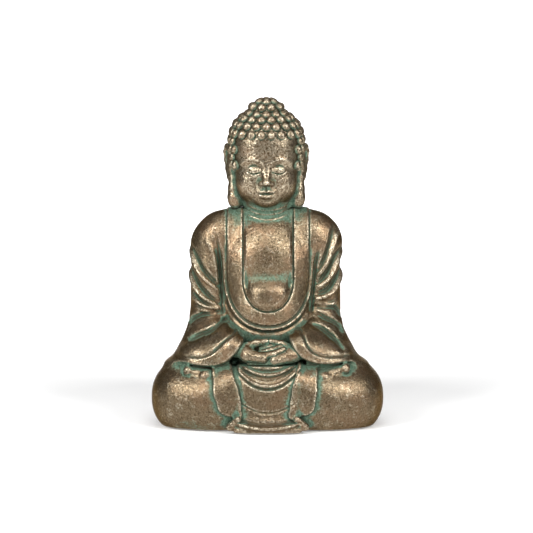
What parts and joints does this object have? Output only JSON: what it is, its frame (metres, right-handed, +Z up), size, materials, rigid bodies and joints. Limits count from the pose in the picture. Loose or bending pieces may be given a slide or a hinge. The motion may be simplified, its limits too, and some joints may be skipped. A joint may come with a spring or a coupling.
{
  "type": "seated buddha statue",
  "caption": "Hollow cast figure seated cross-legged with hands in the lap, robe open at the chest and curled hair, for standing on a shelf or floor.",
  "frame": {"origin": "on the floor under the middle of the figure's box", "axes": "+Z up, the face looks towards -Y, +X is the figure's left"},
  "size_m": [0.298, 0.1991, 0.4207],
  "materials": {
    "bronze_paint": "fibre-stone casting in brushed bronze paint with a green patina wash in the hollows",
    "glass_laminate": "cured resin and chopped glass",
    "fibre_board": "sealed brown fibre board",
    "hardwood": "sawn beech",
    "zinc_steel": "zinc plated",
    "black_rubber": "matt"
  },
  "bodies": {
    "root": {"front_shell": "bronze_paint", "back_shell": "bronze_paint", "head_shell": "bronze_paint", "hair_curls": "bronze_paint", "right_hand": "bronze_paint", "left_hand": "bronze_paint", "seam_strips": "glass_laminate", "closing_board": "fibre_board", "screw_blocks": "hardwood", "board_screws": "zinc_steel", "filling_plug": "black_rubber", "rubber_pads": "black_rubber"}
  },
  "joints": []
}
